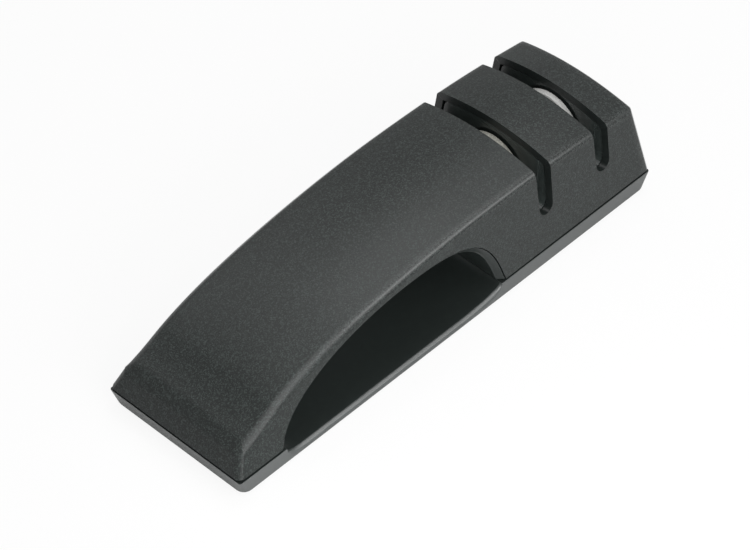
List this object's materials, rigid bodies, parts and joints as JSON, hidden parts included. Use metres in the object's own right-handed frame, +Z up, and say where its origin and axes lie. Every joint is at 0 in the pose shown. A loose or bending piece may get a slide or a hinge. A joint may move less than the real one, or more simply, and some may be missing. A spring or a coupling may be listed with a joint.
{
  "type": "knife sharpener",
  "caption": "Hand-held roll sharpener with an arched bridge handle, a hand opening and a head with knife slots over turning abrasive wheels.",
  "frame": {"origin": "centre of the bounding box at the bottom of the feet", "axes": "+X from the tail of the handle to the head with the slots, +Z up, -Y the near side in the picture"},
  "size_m": [0.205, 0.0622, 0.0465],
  "materials": {
    "housing": "fine moulded texture, matte black",
    "base": "smooth satin dark grey",
    "liner": "smooth satin black",
    "carrier": "smooth glossy black",
    "hub": "smooth black",
    "coarse": "bonded abrasive, light grey, fine grit",
    "fine": "fine white ceramic",
    "steel": "bright steel",
    "washer": "natural nylon",
    "rubber": "matte black rubber"
  },
  "bodies": {
    "body": {"upper_housing": "housing", "base_tray": "base", "grip_liner": "liner", "wheel_carrier": "carrier", "axle_retainer": "carrier", "coarse_axle": "steel", "coarse_washer_tail": "washer", "coarse_washer_head": "washer", "fine_axle": "steel", "fine_washer_tail": "washer", "fine_washer_head": "washer", "retainer_screw_tail_near": "steel", "retainer_screw_tail_far": "steel", "retainer_screw_head_near": "steel", "retainer_screw_head_far": "steel", "base_screw_tail_near": "steel", "base_screw_tail_far": "steel", "base_screw_head_near": "steel", "base_screw_head_far": "steel", "foot_tail_near": "rubber", "foot_tail_far": "rubber", "foot_head_near": "rubber", "foot_head_far": "rubber"},
    "coarse_roll": {"coarse_hub": "hub", "coarse_wheel_tail": "coarse", "coarse_wheel_head": "coarse"},
    "fine_roll": {"fine_hub": "hub", "fine_wheel_tail": "fine", "fine_wheel_head": "fine"}
  },
  "joints": [
    {"name": "coarse_spin", "type": "hinge", "parent": "body", "child": "coarse_roll", "pos_m": [0.0491, -0.0013, 0.0265], "axis": [1, 0, 0], "continuous": true},
    {"name": "fine_spin", "type": "hinge", "parent": "body", "child": "fine_roll", "pos_m": [0.0789, -0.0013, 0.0265], "axis": [1, 0, 0], "continuous": true}
  ]
}
